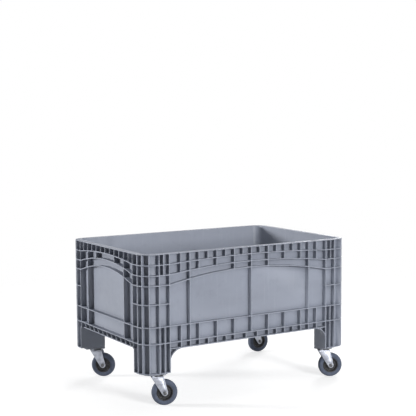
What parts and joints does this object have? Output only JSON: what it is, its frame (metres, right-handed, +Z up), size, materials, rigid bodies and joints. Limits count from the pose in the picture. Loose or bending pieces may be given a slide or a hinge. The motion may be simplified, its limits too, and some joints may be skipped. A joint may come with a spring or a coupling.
{
  "type": "bulk pallet box",
  "caption": "Open ribbed plastic bulk box on pallet footprint, with arched side ribs, corner feet and swivel casters for rolling heavy loose goods.",
  "frame": {"origin": "on the ground under the middle of the box's footprint", "axes": "+Z up, +X along a long side, -Y out of the long side that faces the viewer"},
  "size_m": [1.2, 0.8, 0.732],
  "materials": {
    "box_plastic": "semi-matt moulded polyethylene, blue-grey",
    "zinc_steel": "bright zinc plated pressed steel",
    "dark_steel": "oiled bearing steel",
    "rim_plastic": "black moulded polypropylene",
    "tyre_rubber": "blue-grey non-marking rubber"
  },
  "bodies": {
    "root": {"box_body": "box_plastic", "front_left_top_plate": "dark_steel", "front_left_swivel_bearing": "dark_steel", "front_left_lower_race": "zinc_steel", "front_left_kingpin": "zinc_steel", "front_left_plate_screw_1": "zinc_steel", "front_left_plate_screw_2": "zinc_steel", "front_left_plate_screw_3": "zinc_steel", "front_left_plate_screw_4": "zinc_steel", "front_right_top_plate": "dark_steel", "front_right_swivel_bearing": "dark_steel", "front_right_lower_race": "zinc_steel", "front_right_kingpin": "zinc_steel", "front_right_plate_screw_1": "zinc_steel", "front_right_plate_screw_2": "zinc_steel", "front_right_plate_screw_3": "zinc_steel", "front_right_plate_screw_4": "zinc_steel", "back_left_top_plate": "dark_steel", "back_left_swivel_bearing": "dark_steel", "back_left_lower_race": "zinc_steel", "back_left_kingpin": "zinc_steel", "back_left_plate_screw_1": "zinc_steel", "back_left_plate_screw_2": "zinc_steel", "back_left_plate_screw_3": "zinc_steel", "back_left_plate_screw_4": "zinc_steel", "back_right_top_plate": "dark_steel", "back_right_swivel_bearing": "dark_steel", "back_right_lower_race": "zinc_steel", "back_right_kingpin": "zinc_steel", "back_right_plate_screw_1": "zinc_steel", "back_right_plate_screw_2": "zinc_steel", "back_right_plate_screw_3": "zinc_steel", "back_right_plate_screw_4": "zinc_steel"},
    "front_left_swivel": {"front_left_fork": "zinc_steel", "front_left_axle_bolt": "zinc_steel", "front_left_axle_nut": "zinc_steel", "front_left_axle_sleeve": "dark_steel"},
    "front_left_wheel": {"front_left_wheel_rim": "rim_plastic", "front_left_tyre": "tyre_rubber"},
    "front_right_swivel": {"front_right_fork": "zinc_steel", "front_right_axle_bolt": "zinc_steel", "front_right_axle_nut": "zinc_steel", "front_right_axle_sleeve": "dark_steel"},
    "front_right_wheel": {"front_right_wheel_rim": "rim_plastic", "front_right_tyre": "tyre_rubber"},
    "back_left_swivel": {"back_left_fork": "zinc_steel", "back_left_axle_bolt": "zinc_steel", "back_left_axle_nut": "zinc_steel", "back_left_axle_sleeve": "dark_steel"},
    "back_left_wheel": {"back_left_wheel_rim": "rim_plastic", "back_left_tyre": "tyre_rubber"},
    "back_right_swivel": {"back_right_fork": "zinc_steel", "back_right_axle_bolt": "zinc_steel", "back_right_axle_nut": "zinc_steel", "back_right_axle_sleeve": "dark_steel"},
    "back_right_wheel": {"back_right_wheel_rim": "rim_plastic", "back_right_tyre": "tyre_rubber"}
  },
  "joints": [
    {"name": "front_left_swivel_turn", "type": "hinge", "parent": "root", "child": "front_left_swivel", "pos_m": [-0.498, -0.33, 0.145], "axis": [0, 0, 1], "continuous": true},
    {"name": "front_left_wheel_spin", "type": "hinge", "parent": "front_left_swivel", "child": "front_left_wheel", "pos_m": [-0.46323, -0.34265, 0.0625], "axis": [0.342, 0.9397, 0], "continuous": true},
    {"name": "front_right_swivel_turn", "type": "hinge", "parent": "root", "child": "front_right_swivel", "pos_m": [0.498, -0.33, 0.145], "axis": [0, 0, 1], "continuous": true},
    {"name": "front_right_wheel_spin", "type": "hinge", "parent": "front_right_swivel", "child": "front_right_wheel", "pos_m": [0.5318, -0.34505, 0.0625], "axis": [0.4067, 0.9135, 0], "continuous": true},
    {"name": "back_left_swivel_turn", "type": "hinge", "parent": "root", "child": "back_left_swivel", "pos_m": [-0.498, 0.33, 0.145], "axis": [0, 0, 1], "continuous": true},
    {"name": "back_left_wheel_spin", "type": "hinge", "parent": "back_left_swivel", "child": "back_left_wheel", "pos_m": [-0.46884, 0.30722, 0.0625], "axis": [0.6157, 0.788, 0], "continuous": true},
    {"name": "back_right_swivel_turn", "type": "hinge", "parent": "root", "child": "back_right_swivel", "pos_m": [0.498, 0.33, 0.145], "axis": [0, 0, 1], "continuous": true},
    {"name": "back_right_wheel_spin", "type": "hinge", "parent": "back_right_swivel", "child": "back_right_wheel", "pos_m": [0.53491, 0.32742, 0.0625], "axis": [0.0698, 0.9976, 0], "continuous": true}
  ]
}
